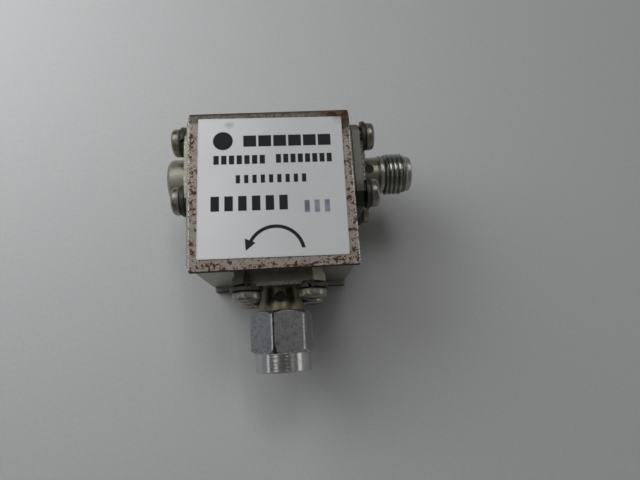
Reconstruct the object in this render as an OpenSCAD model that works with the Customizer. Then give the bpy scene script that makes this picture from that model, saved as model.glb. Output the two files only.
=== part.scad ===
// Coaxial isolator: a square housing in a bent steel yoke, with a threaded plug
// on the front, a threaded jack on the right and a closed load port on the left.
// Inside is a three-way strip junction between two ferrite discs and two magnets.
// The origin is under the junction, on the face that the isolator stands on.
// X runs from the load to the jack, Y runs from the plug to the bend of the yoke.

/* [Housing] */
// Width of the housing block, from the load face to the jack face
block_w = 22.1; // [22:0.1:24]
// Height of the housing block between the two arms of the yoke
block_h = 18.8; // [17:0.1:22]
// Chamfer down the upright edges of the housing block
block_chamfer = 0.25; // [0.1:0.05:0.6]
// Distance from the junction forward to the plug face of the block
plug_face_y = 9.9; // [9.8:0.05:11]
// Distance from the junction to the jack face of the block
jack_face_x = 10.7; // [10.6:0.05:11]
// Distance from the junction back to the axis of the two side ports
side_port_y = 5.1; // [4.6:0.05:5.1]
// Wall left between the rear screws and the back of the block
back_wall = 0.15; // [0.1:0.05:2]
// Diameter of the channels that the ports run in
channel_d = 4.1; // [3.8:0.05:4.4]

/* [Yoke] */
// Thickness of the yoke's steel sheet
yoke_t = 1.0; // [0.8:0.1:1.6]
// How far the yoke's edge is set in from the block's load face
yoke_inset_load = 0.4; // [0:0.05:1]
// How far the yoke's edge is set in from the block's jack face
yoke_inset_jack = 0.1; // [0:0.05:1]
// How far the yoke's arms stand out past the plug face
yoke_overhang = 0.75; // [0.2:0.05:1]
// Outside radius of the yoke's two bends
yoke_bend_r = 2.2; // [1.8:0.1:3]
// Rounding of the arms' front corners
yoke_corner_r = 0.2; // [0.1:0.05:1]

/* [Label] */
// Margin between the label and the yoke's edges on the load and jack sides
label_side = 1.22; // [0.5:0.02:3]
// Margin between the label and the yoke's front edge
label_front = 1.4; // [0.5:0.05:3]
// Depth of the label
label_d = 19.1; // [16:0.05:19.2]
// Thickness of the label
label_t = 0.12; // [0.08:0.01:0.3]
// Rounding of the label's corners
label_corner_r = 0.25; // [0.1:0.05:1]
// How far the label was stuck on out of square, in degrees
label_turn = -0.8; // [-1:0.1:1]

/* [Junction] */
// Diameter of the ferrite discs
ferrite_d = 12.6; // [11:0.1:13]
// Thickness of one ferrite disc
ferrite_t = 2.0; // [1.5:0.1:2.6]
// Thickness of the web under the lower ferrite and of the cover disc over the upper one
ground_t = 1.0; // [0.8:0.1:1.5]
// Diameter of the magnets, the pole discs and the cover disc
magnet_d = 14.0; // [13.4:0.1:14]
// Thickness of one steel pole disc
pole_t = 1.0; // [0.6:0.1:1.5]
// Thickness of the strip conductor
strip_t = 0.25; // [0.15:0.05:0.4]
// Diameter of the round middle of the strip conductor
strip_disc_d = 7.0; // [5:0.1:8]
// Width of the conductor's legs between the ferrites
leg_w = 2.0; // [1.4:0.1:2.6]
// Width of the conductor's tails on the contacts
tail_w = 0.8; // [0.5:0.05:0.85]
// Width of the slots that the two side legs run in
leg_slot_w = 3.4; // [3:0.1:4]
// Height of the slots that the two side legs run in
leg_slot_h = 2.6; // [2:0.1:3.6]

/* [Flanges] */
// Distance from the screws' axes to the edge of the square flanges
flange_margin = 1.925; // [1.9:0.025:2.2]
// Chamfer across the flanges' corners
flange_chamfer = 1.7; // [1.4:0.05:1.8]
// Thickness of the plug's and the jack's flange
flange_t = 1.5; // [1.4:0.05:2]
// Width of the bevel round the outer face of those flanges
flange_bevel = 0.4; // [0.2:0.05:0.6]
// Height of the seating pad behind the plug's and the jack's flange
pad_t = 0.75; // [0.3:0.05:0.9]
// How far that pad is set in from the flange's outline
pad_inset = 0.25; // [0.1:0.05:0.3]
// Thickness of the load's flange
load_flange_t = 1.1; // [1:0.05:1.8]
// Distance between neighbouring screws on a flange
screw_pitch = 8.85; // [8.5:0.05:8.9]

/* [Screws and washers] */
// Diameter of the screws' shanks
screw_d = 1.9; // [1.7:0.05:2.05]
// Length of the screws' shanks
screw_l = 5.2; // [4.9:0.1:5.4]
// Diameter of the pan heads
head_d = 4.0; // [3.8:0.05:4.2]
// Height of the pan heads
head_h = 1.4; // [1.3:0.05:1.7]
// Chamfer under the rim of the pan heads
head_rim = 0.25; // [0.1:0.05:0.3]
// Width of one arm of the cross recess
cross_w = 0.5; // [0.3:0.05:0.6]
// Length across the cross recess
cross_l = 2.1; // [1.6:0.1:2.3]
// Depth of the cross recess
cross_depth = 0.7; // [0.5:0.05:0.9]
// Diameter of the clearance holes in the flanges
flange_hole_d = 2.4; // [2.3:0.05:2.45]
// Depth of the tapped holes in the block, past the screw tips
tap_spare = 0.35; // [0.2:0.05:0.5]
// Outside diameter of the split lock washers
washer_d = 4.5; // [4:0.05:4.6]
// Inside diameter of the split lock washers
washer_hole_d = 2.3; // [2.2:0.05:2.6]
// Thickness of the split lock washers
washer_t = 0.5; // [0.4:0.05:0.6]
// Width of the split in a lock washer
washer_split = 0.35; // [0.2:0.05:0.5]

/* [Plug] */
// Diameter of the plug's neck at the flange
plug_neck_d = 5.7; // [5.4:0.1:5.9]
// Height above the flange at which the neck begins to flare
plug_flare_start = 1; // [0.9:0.05:1.3]
// Height above the flange at which the flare is full
plug_flare_end = 2.15; // [2.1:0.05:2.6]
// Diameter of the collar behind the nut
plug_collar_d = 6.4; // [6.3:0.1:7]
// Height above the flange of the collar's front face
plug_collar_end = 3.05; // [2.9:0.05:3.1]
// Diameter of the barrel that the nut turns on
barrel_d = 5.9; // [5.7:0.02:5.96]
// Height above the flange of the barrel's shoulder
barrel_end = 5.6; // [5.5:0.05:5.8]
// Outside diameter of the plug's ferrule
ferrule_d = 4.56; // [4.5:0.01:4.6]
// Height above the flange of the ferrule's face
ferrule_end = 8.1; // [7.9:0.05:8.4]
// Diameter of the plug's centre pin
pin_d = 0.92; // [0.9:0.01:0.94]
// How far the centre pin stands out of the ferrule
pin_reach = 2.1; // [1.6:0.05:2.4]
// Height above the flange of the plug's filled cross hole
plug_fill_s = 1.2; // [1.1:0.05:1.25]
// Diameter of the plug's filled cross hole
plug_fill_d = 1.56; // [1.4:0.02:1.6]

/* [Coupling nut] */
// Width across the flats of the coupling nut
nut_flats = 7.94; // [7.9:0.01:8.1]
// Height above the plug's flange of the nut's back face
nut_start = 3.2; // [3.15:0.05:3.3]
// Height above the plug's flange at which the hexagon ends
nut_hex_end = 8.95; // [8.6:0.05:9.4]
// Height above the plug's flange of the nut's open end
nut_end = 11.5; // [11.2:0.05:12]
// Diameter of the round band at the nut's open end
nut_band_d = 7.8; // [7.6:0.05:7.88]
// Length of the chamfers at both ends of the hexagon
nut_chamfer = 0.55; // [0.4:0.05:0.7]
// Minor diameter of the nut's inside thread
nut_thread_d = 5.7; // [5.6:0.02:5.74]
// Diameter of the relief at the inner end of that thread
nut_relief_d = 6.5; // [6.4:0.05:6.7]
// How far the nut is turned on the plug, in degrees
nut_turn = -16.6; // [-30:0.1:30]
// Running clearance between the nut and the barrel, on the radius
nut_clearance = 0.06; // [0.03:0.01:0.09]
// Thickness of the snap ring along the plug's axis
ring_t = 0.5; // [0.4:0.05:0.55]
// Height above the flange of the snap ring's back face
ring_start = 4.25; // [4.15:0.05:4.3]
// Depth of the snap ring's groove in the barrel
ring_groove = 0.45; // [0.35:0.05:0.5]
// How far the snap ring stands out of the barrel
ring_proud = 0.4; // [0.3:0.05:0.45]
// Play of the snap ring in the nut's groove
ring_play = 0.12; // [0.08:0.01:0.15]
// Width of the gap in the snap ring
ring_gap = 1.2; // [0.8:0.1:2]
// Thickness of the gasket on the barrel's shoulder
gasket_t = 0.7; // [0.5:0.05:0.8]
// Diameter of the gasket
gasket_d = 5.84; // [5.6:0.02:5.9]

/* [Jack] */
// Diameter of the jack's neck at the flange
jack_neck_d = 5.4; // [5.2:0.1:5.6]
// Height above the flange at which the neck begins to flare
jack_flare_start = 2.6; // [2.4:0.05:2.7]
// Height above the flange at which the flare is full
jack_flare_end = 3.05; // [2.9:0.05:3.15]
// Diameter of the collar behind the jack's thread
jack_collar_d = 5.9; // [5.7:0.02:5.92]
// Height above the flange at which the thread begins
thread_start = 3.65; // [3.55:0.05:3.8]
// Height above the flange at which the thread ends
thread_end = 6.7; // [6.4:0.05:6.9]
// Diameter over the crests of the jack's thread
thread_d = 6.26; // [6.2:0.01:6.35]
// Diameter of the plain pilot in front of the thread
pilot_d = 5.3; // [5.2:0.05:5.5]
// Height above the flange of the jack's open face
jack_end = 7.85; // [7.6:0.05:8.4]
// Diameter of the socket that the mating ferrule enters
socket_d = 4.64; // [4.62:0.01:4.7]
// Depth of that socket
socket_depth = 1.95; // [1.8:0.05:2.1]
// Diameter of the jack's centre contact
contact_d = 1.27; // [1.2:0.01:1.3]
// Diameter of the hole in the centre contact
contact_hole_d = 0.96; // [0.94:0.01:1]
// Depth of the hole in the centre contact
contact_depth = 2.6; // [2.4:0.1:3]
// Width of the slots between the contact's fingers
contact_slot = 0.16; // [0.1:0.02:0.2]
// Height above the flange of the jack's filled cross hole
jack_fill_s = 1.25; // [1:0.05:1.6]
// Diameter of the jack's filled cross hole
jack_fill_d = 1.42; // [1.3:0.02:1.5]

/* [Load] */
// Diameter of the load's round cap
cap_d = 6.9; // [6.4:0.1:7.2]
// Height of the cap above the load's flange
cap_h = 3.3; // [3:0.1:3.8]
// Rounding of the cap's outer edge
cap_round = 0.9; // [0.4:0.05:1]
// Thickness of the cap's closed end
cap_end_t = 0.8; // [0.6:0.05:1]
// Diameter of the resistor rod
resistor_d = 1.6; // [1.4:0.05:1.8]
// Length of the metal band at each end of the resistor rod
resistor_band = 0.5; // [0.4:0.05:0.7]
// Thickness of the bead that carries the load's contact
bead_t = 1.2; // [1:0.05:1.4]

/* [Contacts] */
// Diameter of the contacts' tails inside the block
tail_d = 0.9; // [0.88:0.01:0.92]
// Length of the flat on a tail that the strip lies on
tail_flat = 1.3; // [1:0.1:1.4]
// Gap between the end of a tail and the block's outer face
tail_inset = 0.35; // [0.3:0.05:0.5]
// Clearance between pieces that are bonded or pressed into one another
seat = 0.03; // [0.02:0.01:0.05]

/* [Hidden] */
$fn = 96;

small = 0.01;
leg_angle = 30;

// The block's faces, the yoke's outside and the height of the ports
load_face_x = block_w - jack_face_x;
block_back_y = side_port_y + screw_pitch / 2 + screw_d / 2 + seat + back_wall;
block_top_z = yoke_t + block_h;
port_z = yoke_t + block_h / 2;
yoke_h = block_h + 2 * yoke_t;
yoke_w = block_w - yoke_inset_load - yoke_inset_jack;
yoke_x = (jack_face_x - yoke_inset_jack) - yoke_w / 2;
yoke_front_y = -plug_face_y - yoke_overhang;
yoke_back_y = block_back_y + yoke_t;

// The stack between the yoke's arms, outwards from the strip
ferrite_z = strip_t / 2;
ground_z = ferrite_z + ferrite_t;
pole_z = ground_z + ground_t;
magnet_z = pole_z + pole_t;
magnet_t = block_h / 2 - magnet_z;

// Width of the flanges, and heights on the ports from the block's face outwards
flange_w = screw_pitch + 2 * flange_margin;
flange_face = pad_t + flange_t;
ref_plane = jack_end - socket_depth;
ring_end = ring_start + ring_t;
resistor_end = load_flange_t + cap_h - cap_end_t;
load_bore_d = channel_d;

// Where the strip's tails end, from the block's faces inwards
tail_depth = tail_inset + tail_flat;

// Colours
steel_c = [0.62, 0.58, 0.54];
plate_c = [0.55, 0.56, 0.50];
nut_c = [0.60, 0.60, 0.60];
neck_c = [0.52, 0.49, 0.38];
ferrite_c = [0.22, 0.21, 0.22];
magnet_c = [0.30, 0.29, 0.29];
copper_c = [0.80, 0.62, 0.30];
ptfe_c = [0.93, 0.92, 0.88];
epoxy_c = [0.06, 0.06, 0.06];
gasket_c = [0.70, 0.22, 0.14];
label_c = [0.92, 0.94, 0.95];

// Places its children on the plug face, with their Z outwards and Y upwards
module on_plug_face() {
    translate([0, -plug_face_y, port_z])
        rotate([90, 0, 0])
            children();
}

// Places its children on the jack face in the same way
module on_jack_face() {
    translate([jack_face_x, side_port_y, port_z])
        rotate([90, 0, 90])
            children();
}

// Places its children on the load face in the same way
module on_load_face() {
    translate([-load_face_x, side_port_y, port_z])
        rotate([90, 0, -90])
            children();
}

// Repeats its children at the four screws of a flange
module at_screws() {
    for (x = [-1, 1])
        for (y = [-1, 1])
            translate([x * screw_pitch / 2, y * screw_pitch / 2, 0])
                children();
}

// A rectangle with round corners, centred
module round_rectangle(w, d, r) {
    square([w - 2 * r, d], center = true);
    square([w, d - 2 * r], center = true);
    for (x = [-1, 1])
        for (y = [-1, 1])
            translate([x * (w / 2 - r), y * (d / 2 - r)])
                circle(r);
}

// A square of width w with its corners cut off by c, centred
module chamfered_square(w, c) {
    h = w / 2;
    k = h - c;
    polygon([
        [h, -k], [h, k], [k, h], [-k, h],
        [-h, k], [-h, -k], [-k, -h], [k, -h]
    ]);
}

// A ring from z to z + t with the given diameters
module ring(inner_d, outer_d, z, t) {
    translate([0, 0, z])
        difference() {
            cylinder(d = outer_d, h = t);
            translate([0, 0, -small])
                cylinder(d = inner_d, h = t + 2 * small);
        }
}

// The hole across a connector's neck, from its top down to depth r over the axis
module cross_hole(s, d, r, top) {
    translate([0, r, s])
        rotate([-90, 0, 0])
            cylinder(d = d, h = top - r, $fn = 48);
}

// Steel sheet bent twice into a C that closes the magnets' circuit
module yoke() {
    color(steel_c)
        intersection() {
            translate([yoke_x - yoke_w / 2, 0, 0])
                rotate([90, 0, 90])
                    linear_extrude(yoke_w)
                        yoke_profile();
            yoke_outline();
        }
}

// Side view of the bent sheet: Y to the right, Z up
module yoke_profile() {
    difference() {
        bent_rectangle(yoke_front_y, yoke_back_y, 0, yoke_h, yoke_bend_r);
        bent_rectangle(yoke_front_y - 1, block_back_y, yoke_t, block_top_z, yoke_bend_r - yoke_t);
    }
}

// A rectangle whose two corners on the right are round
module bent_rectangle(left, right, low, high, r) {
    translate([left, low])
        square([right - left - r, high - low]);
    translate([left, low + r])
        square([right - left, high - low - 2 * r]);
    for (y = [low + r, high - r])
        translate([right - r, y])
            circle(r);
}

// Plan view of the yoke, round at the front corners of its arms
module yoke_outline() {
    depth = yoke_back_y - yoke_front_y;
    translate([yoke_x, yoke_front_y, -1])
        linear_extrude(yoke_h + 2)
            union() {
                translate([0, depth / 2])
                    round_rectangle(yoke_w, depth, yoke_corner_r);
                translate([-yoke_w / 2, depth / 2])
                    square([yoke_w, depth / 2]);
            }
}

// Machined block with the junction's cavity, three port channels and twelve tapped holes
module housing_block() {
    inner_r = yoke_bend_r - yoke_t;
    color(plate_c)
        difference() {
            intersection() {
                block_outline();
                translate([-load_face_x - 1, 0, 0])
                    rotate([90, 0, 90])
                        linear_extrude(block_w + 2)
                            bent_rectangle(-plug_face_y - 1, block_back_y, yoke_t, block_top_z, inner_r);
            }
            junction_cavity();
            on_plug_face()
                port_cut(plug_face_y - ferrite_d / 2 + 1, flange_face);
            on_jack_face()
                port_cut(jack_face_x - side_port_y / tan(leg_angle) + ferrite_d / 2 - 1, flange_face);
            on_load_face()
                port_cut(load_face_x - side_port_y / tan(leg_angle) + ferrite_d / 2 - 1, load_flange_t);
            for (a = [leg_angle, 180 - leg_angle])
                leg_slot(a);
        }
}

// The block's outline from above, with chamfered upright edges
module block_outline() {
    c = block_chamfer;
    x0 = -load_face_x;
    x1 = jack_face_x;
    y0 = -plug_face_y;
    y1 = block_back_y;
    translate([0, 0, yoke_t])
        linear_extrude(block_h)
            polygon([
                [x0 + c, y0], [x1 - c, y0], [x1, y0 + c], [x1, y1 - c],
                [x1 - c, y1], [x0 + c, y1], [x0, y1 - c], [x0, y0 + c]
            ]);
}

// The ferrites' cavity with a web under it, and the magnets' recesses above and below
module junction_cavity() {
    cavity_r = ferrite_d / 2 + seat;
    recess_r = magnet_d / 2 + seat;
    translate([0, 0, port_z - ground_z])
        cylinder(r = cavity_r, h = 2 * ground_z + small);
    translate([0, 0, port_z + ground_z])
        cylinder(r = recess_r, h = block_h);
    translate([0, 0, -small])
        cylinder(r = recess_r, h = port_z - pole_z + small);
}

// A port's channel of the given depth and its four tapped holes
module port_cut(depth, stack) {
    hole_depth = screw_l - washer_t - stack + tap_spare;
    translate([0, 0, -depth])
        cylinder(d = channel_d, h = depth + 1);
    at_screws()
        translate([0, 0, -hole_depth])
            cylinder(d = screw_d + 2 * seat, h = hole_depth + 1, $fn = 48);
}

// The slot from the cavity to a side port's channel
module leg_slot(a) {
    reach = side_port_y / sin(leg_angle);
    translate([0, 0, port_z - leg_slot_h / 2])
        rotate([0, 0, a])
            translate([0, -leg_slot_w / 2, 0])
                cube([reach, leg_slot_w, leg_slot_h]);
}

// Printed label stuck on the yoke's upper arm
module label() {
    color(label_c)
        translate([yoke_x, yoke_front_y + label_front + label_d / 2, yoke_h])
            rotate([0, 0, label_turn])
                linear_extrude(label_t)
                    round_rectangle(yoke_w - 2 * label_side, label_d, label_corner_r);
}

// A disc of the upper stack, between two heights above the strip's middle
module upper_disc(d, from, to) {
    translate([0, 0, port_z + from])
        cylinder(d = d, h = to - from);
}

// The matching disc of the lower stack
module lower_disc(d, from, to) {
    translate([0, 0, port_z - to])
        cylinder(d = d, h = to - from);
}

module lower_magnet() {
    color(magnet_c)
        lower_disc(magnet_d, magnet_z, magnet_z + magnet_t);
}

module upper_magnet() {
    color(magnet_c)
        upper_disc(magnet_d, magnet_z, magnet_z + magnet_t);
}

module lower_pole_disc() {
    color(steel_c)
        lower_disc(magnet_d, pole_z, magnet_z);
}

module upper_pole_disc() {
    color(steel_c)
        upper_disc(magnet_d, pole_z, magnet_z);
}

module lower_ferrite() {
    color(ferrite_c)
        lower_disc(ferrite_d, ferrite_z, ground_z);
}

module upper_ferrite() {
    color(ferrite_c)
        upper_disc(ferrite_d, ferrite_z, ground_z);
}

// Disc that closes the cavity over the upper ferrite, as the web does below
module cover_disc() {
    color(plate_c)
        upper_disc(magnet_d, ground_z, pole_z);
}

// Three-legged strip with a tail on each port's contact
module centre_conductor() {
    reach = side_port_y / sin(leg_angle);
    knee = side_port_y / tan(leg_angle);
    color(copper_c)
        translate([0, 0, port_z - strip_t / 2])
            linear_extrude(strip_t)
                union() {
                    circle(d = strip_disc_d);
                    strip_leg(-90, ferrite_d / 2, leg_w);
                    strip_leg(-90, plug_face_y - tail_inset, tail_w);
                    for (a = [leg_angle, 180 - leg_angle])
                        strip_leg(a, reach, 2 * tail_w);
                    for (a = [leg_angle, 180 - leg_angle])
                        strip_leg(a, ferrite_d / 2, leg_w);
                    translate([knee - tail_w, side_port_y - tail_w / 2])
                        square([jack_face_x - tail_inset - knee + tail_w, tail_w]);
                    translate([tail_inset - load_face_x, side_port_y - tail_w / 2])
                        square([load_face_x - tail_inset - knee + tail_w, tail_w]);
                }
}

// One straight leg of the strip, in the direction a
module strip_leg(a, length, w) {
    rotate(a)
        translate([0, -w / 2])
            square([length, w]);
}

// A connector's square flange on its seating pad, with four holes
module connector_flange() {
    pad_chamfer = flange_chamfer - pad_inset * (2 - sqrt(2));
    difference() {
        union() {
            translate([0, 0, pad_t])
                linear_extrude(flange_t)
                    chamfered_square(flange_w, flange_chamfer);
            linear_extrude(pad_t)
                chamfered_square(flange_w - 2 * pad_inset, pad_chamfer);
        }
        flange_holes(flange_face);
        for (a = [0 : 90 : 270]) {
            edge_bevel(a, flange_w / 2);
            edge_bevel(a + 45, (flange_w - flange_chamfer) / sqrt(2));
        }
    }
}

// Cut for the bevel on the side of a flange that faces the direction a, at the distance d
module edge_bevel(a, d) {
    side = flange_bevel * sqrt(2);
    rotate([0, 0, a])
        translate([d, 0, flange_face])
            rotate([0, 45, 0])
                cube([side, flange_w, side], center = true);
}

// Four clearance holes through a flange of thickness t
module flange_holes(t) {
    at_screws()
        translate([0, 0, -1])
            cylinder(d = flange_hole_d, h = t + 2, $fn = 48);
}

// A contact's tail in the block: round, with a flat that the strip lies on
module contact_tail(depth) {
    difference() {
        translate([0, 0, -depth])
            cylinder(d = tail_d, h = depth + small, $fn = 48);
        translate([-tail_d, -strip_t / 2, -depth - 1])
            cube([2 * tail_d, tail_d, depth - tail_inset + 1 + seat]);
    }
}

// Plug: flange, neck, collar, barrel with the snap ring's groove, and ferrule
module plug_body() {
    color(neck_c)
        on_plug_face()
            difference() {
                union() {
                    connector_flange();
                    translate([0, 0, flange_face])
                        plug_outside();
                }
                translate([0, 0, -1])
                    cylinder(d = channel_d, h = flange_face + ferrule_end + 2);
                translate([0, 0, flange_face])
                    cross_hole(plug_fill_s, plug_fill_d, 0, plug_neck_d);
            }
}

// The turned outside of the plug, as a solid of revolution from its flange upwards
module plug_outside() {
    groove_r = barrel_d / 2 - ring_groove;
    edge = 0.15;
    rotate_extrude()
        polygon([
            [0, -small],
            [plug_neck_d / 2, -small],
            [plug_neck_d / 2, plug_flare_start],
            [plug_collar_d / 2, plug_flare_end],
            [plug_collar_d / 2, plug_collar_end],
            [barrel_d / 2, plug_collar_end],
            [barrel_d / 2, ring_start - seat],
            [groove_r, ring_start - seat],
            [groove_r, ring_end + seat],
            [barrel_d / 2, ring_end + seat],
            [barrel_d / 2, barrel_end],
            [ferrule_d / 2, barrel_end],
            [ferrule_d / 2, ferrule_end - edge],
            [ferrule_d / 2 - edge / 2, ferrule_end],
            [0, ferrule_end]
        ]);
}

// Insulator through the plug, level with the ferrule's face
module plug_dielectric() {
    color(ptfe_c)
        on_plug_face()
            difference() {
                ring(pin_d + 2 * seat, channel_d - 2 * seat, 0, flange_face + ferrule_end);
                translate([0, 0, flange_face])
                    cross_hole(plug_fill_s, plug_fill_d, 0, plug_neck_d);
            }
}

// Centre pin of the plug, pointed at the front and flat at its tail
module plug_pin() {
    tip = flange_face + ferrule_end + pin_reach;
    taper = 0.5;
    color(copper_c)
        on_plug_face()
            union() {
                contact_tail(tail_depth);
                cylinder(d = pin_d, h = tip - taper, $fn = 48);
                translate([0, 0, tip - taper])
                    cylinder(d1 = pin_d, d2 = pin_d / 3, h = taper, $fn = 48);
            }
}

// Epoxy in the plug's cross hole, which holds the insulator and the pin
module plug_epoxy() {
    color(epoxy_c)
        on_plug_face()
            translate([0, 0, flange_face])
                fill_plug(plug_fill_s, plug_fill_d, pin_d, plug_neck_d);
}

// Filling of a cross hole, from the contact out to just under the neck's surface
module fill_plug(s, d, inner_d, neck_d) {
    sunk = 0.2;
    cross_hole(s, d - 2 * seat, inner_d / 2 + seat, neck_d / 2 - sunk);
}

// Hexagon nut with a round band, which turns freely on the barrel
module coupling_nut() {
    color(nut_c)
        on_plug_face()
            translate([0, 0, flange_face])
                difference() {
                    union() {
                        intersection() {
                            rotate([0, 0, nut_turn])
                                translate([0, 0, nut_start])
                                    cylinder(d = nut_flats / cos(30), h = nut_hex_end - nut_start, $fn = 6);
                            nut_turned_outside();
                        }
                        nut_band();
                    }
                    nut_bore();
                }
}

// Turned blank that gives the hexagon its two chamfered ends
module nut_turned_outside() {
    corner_r = nut_flats / cos(30) / 2;
    face_r = nut_flats / 2 - 0.05;
    rotate_extrude()
        polygon([
            [0, nut_start],
            [face_r, nut_start],
            [corner_r + small, nut_start + nut_chamfer],
            [corner_r + small, nut_hex_end - nut_chamfer],
            [face_r, nut_hex_end],
            [0, nut_hex_end]
        ]);
}

// Round band at the nut's open end
module nut_band() {
    edge = 0.2;
    rotate_extrude()
        polygon([
            [0, nut_hex_end - 1],
            [nut_band_d / 2, nut_hex_end - 1],
            [nut_band_d / 2, nut_end - edge],
            [nut_band_d / 2 - edge, nut_end],
            [0, nut_end]
        ]);
}

// Inside of the nut: bearing, snap ring groove, relief, thread and countersink
module nut_bore() {
    bearing_r = barrel_d / 2 + nut_clearance;
    groove_r = barrel_d / 2 + ring_proud + ring_play;
    relief_r = nut_relief_d / 2;
    thread_r = nut_thread_d / 2;
    mouth = relief_r - thread_r;
    relief_from = barrel_end - 0.3;
    relief_to = barrel_end + gasket_t;
    rotate_extrude()
        polygon([
            [0, nut_start - 1],
            [bearing_r, nut_start - 1],
            [bearing_r, ring_start - ring_play],
            [groove_r, ring_start - ring_play],
            [groove_r, ring_end + ring_play],
            [bearing_r, ring_end + ring_play],
            [bearing_r, relief_from],
            [relief_r, relief_from],
            [relief_r, relief_to],
            [thread_r, relief_to + mouth],
            [thread_r, nut_end - mouth],
            [relief_r, nut_end],
            [relief_r, nut_end + 1],
            [0, nut_end + 1]
        ]);
}

// Open wire ring that keeps the nut on the barrel
module snap_ring() {
    color(steel_c)
        on_plug_face()
            translate([0, 0, flange_face])
                difference() {
                    ring(barrel_d - 2 * ring_groove + 2 * seat, barrel_d + 2 * ring_proud, ring_start, ring_t);
                    translate([-ring_gap / 2, -barrel_d, ring_start - 1])
                        cube([ring_gap, barrel_d, ring_t + 2]);
                }
}

// Soft ring on the barrel's shoulder, round the ferrule
module gasket() {
    color(gasket_c)
        on_plug_face()
            translate([0, 0, flange_face])
                ring(ferrule_d + 2 * seat, gasket_d, barrel_end, gasket_t);
}

// Jack: flange, neck, collar, threaded barrel and pilot, with the mating socket
module jack_body() {
    color(neck_c)
        on_jack_face()
            difference() {
                union() {
                    connector_flange();
                    translate([0, 0, flange_face])
                        jack_outside();
                }
                translate([0, 0, -1])
                    cylinder(d = channel_d, h = flange_face + jack_end + 2);
                translate([0, 0, flange_face + ref_plane])
                    cylinder(d = socket_d, h = socket_depth + 1);
                translate([0, 0, flange_face])
                    cross_hole(jack_fill_s, jack_fill_d, 0, jack_neck_d);
            }
}

// The turned outside of the jack, with the thread as a plain cylinder over its crests
module jack_outside() {
    edge = 0.2;
    relief = 0.3;
    relief_r = jack_collar_d / 2 - 0.3;
    rotate_extrude()
        polygon([
            [0, -small],
            [jack_neck_d / 2, -small],
            [jack_neck_d / 2, jack_flare_start],
            [jack_collar_d / 2, jack_flare_end],
            [jack_collar_d / 2, thread_start - relief],
            [relief_r, thread_start - relief],
            [relief_r, thread_start],
            [thread_d / 2, thread_start],
            [thread_d / 2, thread_end],
            [pilot_d / 2, thread_end + (thread_d - pilot_d) / 2],
            [pilot_d / 2, jack_end - edge],
            [pilot_d / 2 - edge, jack_end],
            [0, jack_end]
        ]);
}

// Insulator through the jack, level with the bottom of its socket
module jack_dielectric() {
    color(ptfe_c)
        on_jack_face()
            difference() {
                ring(contact_d + 2 * seat, channel_d - 2 * seat, 0, flange_face + ref_plane);
                translate([0, 0, flange_face])
                    cross_hole(jack_fill_s, jack_fill_d, 0, jack_neck_d);
            }
}

// Centre contact of the jack: a slotted socket at the front, a flat tail inside
module jack_contact() {
    face = flange_face + ref_plane;
    color(copper_c)
        on_jack_face()
            difference() {
                union() {
                    contact_tail(tail_depth);
                    cylinder(d = contact_d, h = face, $fn = 48);
                }
                translate([0, 0, face - contact_depth])
                    cylinder(d = contact_hole_d, h = contact_depth + 1, $fn = 48);
                for (a = [45, 135])
                    rotate([0, 0, a])
                        translate([-contact_d, -contact_slot / 2, face - 0.8 * contact_depth])
                            cube([2 * contact_d, contact_slot, contact_depth]);
            }
}

// Epoxy in the jack's cross hole
module jack_epoxy() {
    color(epoxy_c)
        on_jack_face()
            translate([0, 0, flange_face])
                fill_plug(jack_fill_s, jack_fill_d, contact_d, jack_neck_d);
}

// Load: thin flange with a closed round cap over the resistor
module load_body() {
    top = load_flange_t + cap_h;
    color(plate_c)
        on_load_face()
            difference() {
                union() {
                    linear_extrude(load_flange_t)
                        chamfered_square(flange_w, flange_chamfer);
                    rotate_extrude()
                        cap_profile(cap_d / 2, load_flange_t - small, top, cap_round);
                }
                flange_holes(load_flange_t);
                translate([0, 0, -1])
                    cylinder(d = load_bore_d, h = 1 + resistor_end);
            }
}

// Half section of a cap of radius r with a round outer edge
module cap_profile(r, low, high, round_r) {
    translate([0, low])
        square([r, high - low - round_r]);
    translate([0, low])
        square([r - round_r, high - low]);
    translate([r - round_r, high - round_r])
        intersection() {
            circle(round_r);
            square(round_r);
        }
}

// Rod resistor between the load's contact and the cap's closed end
module load_resistor() {
    band_d = resistor_d + 0.2;
    low = bead_t;
    color(magnet_c)
        on_load_face()
            union() {
                translate([0, 0, low])
                    cylinder(d = resistor_d, h = resistor_end - low, $fn = 48);
                for (z = [low, resistor_end - resistor_band])
                    translate([0, 0, z])
                        cylinder(d = band_d, h = resistor_band, $fn = 48);
            }
}

// Insulating bead that carries the load's contact
module load_bead() {
    color(ptfe_c)
        on_load_face()
            ring(tail_d + 2 * seat, load_bore_d - 2 * seat, 0, bead_t);
}

// Contact from the strip to the resistor
module load_contact() {
    color(copper_c)
        on_load_face()
            union() {
                contact_tail(tail_depth);
                cylinder(d = tail_d, h = bead_t, $fn = 48);
            }
}

// Pan head screw with a cross recess, its head's underside at z = 0
module pan_screw() {
    side = 0.65 * head_h;
    crown_r = 0.72 * head_d / 2;
    difference() {
        union() {
            translate([0, 0, -screw_l])
                cylinder(d = screw_d, h = screw_l + small, $fn = 48);
            rotate_extrude($fn = 64)
                polygon([
                    [0, 0], [head_d / 2 - head_rim, 0], [head_d / 2, head_rim], [head_d / 2, side],
                    for (a = [15 : 15 : 90])
                        [crown_r + (head_d / 2 - crown_r) * cos(a), side + (head_h - side) * sin(a)],
                    [0, head_h]
                ]);
        }
        for (a = [0, 90])
            rotate([0, 0, a])
                translate([-cross_l / 2, -cross_w / 2, head_h - cross_depth])
                    cube([cross_l, cross_w, head_h]);
    }
}

// Four screws on their washers, each turned its own way, over a flange of thickness t
module screw_set(t, turn) {
    for (i = [0 : 3])
        rotate([0, 0, 90 * i])
            translate([screw_pitch / 2, screw_pitch / 2, t + washer_t])
                rotate([0, 0, turn + 37 * i])
                    pan_screw();
}

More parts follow.
